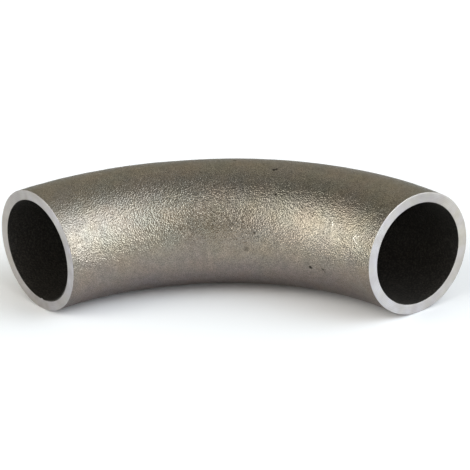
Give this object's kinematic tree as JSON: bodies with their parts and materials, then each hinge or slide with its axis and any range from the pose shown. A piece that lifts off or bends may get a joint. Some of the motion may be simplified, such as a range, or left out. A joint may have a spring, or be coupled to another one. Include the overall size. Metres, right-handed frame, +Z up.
{
  "type": "pipe elbow",
  "caption": "Seamless butt-weld pipe elbow of shot-blasted steel, a plain tube bent through a right angle with square-cut ends.",
  "frame": {"origin": "under the middle of the bounding box, at the elbow's lowest point: it lies flat with its bend horizontal", "axes": "-Y out of one end, +X out of the other, +Z up, square to the plane of the bend"},
  "size_m": [0.071, 0.071, 0.0269],
  "materials": {
    "steel": "shot-blasted outside, machined bright end faces, dark scale in the bore"
  },
  "bodies": {
    "root": {"elbow_body": "steel"}
  },
  "joints": []
}
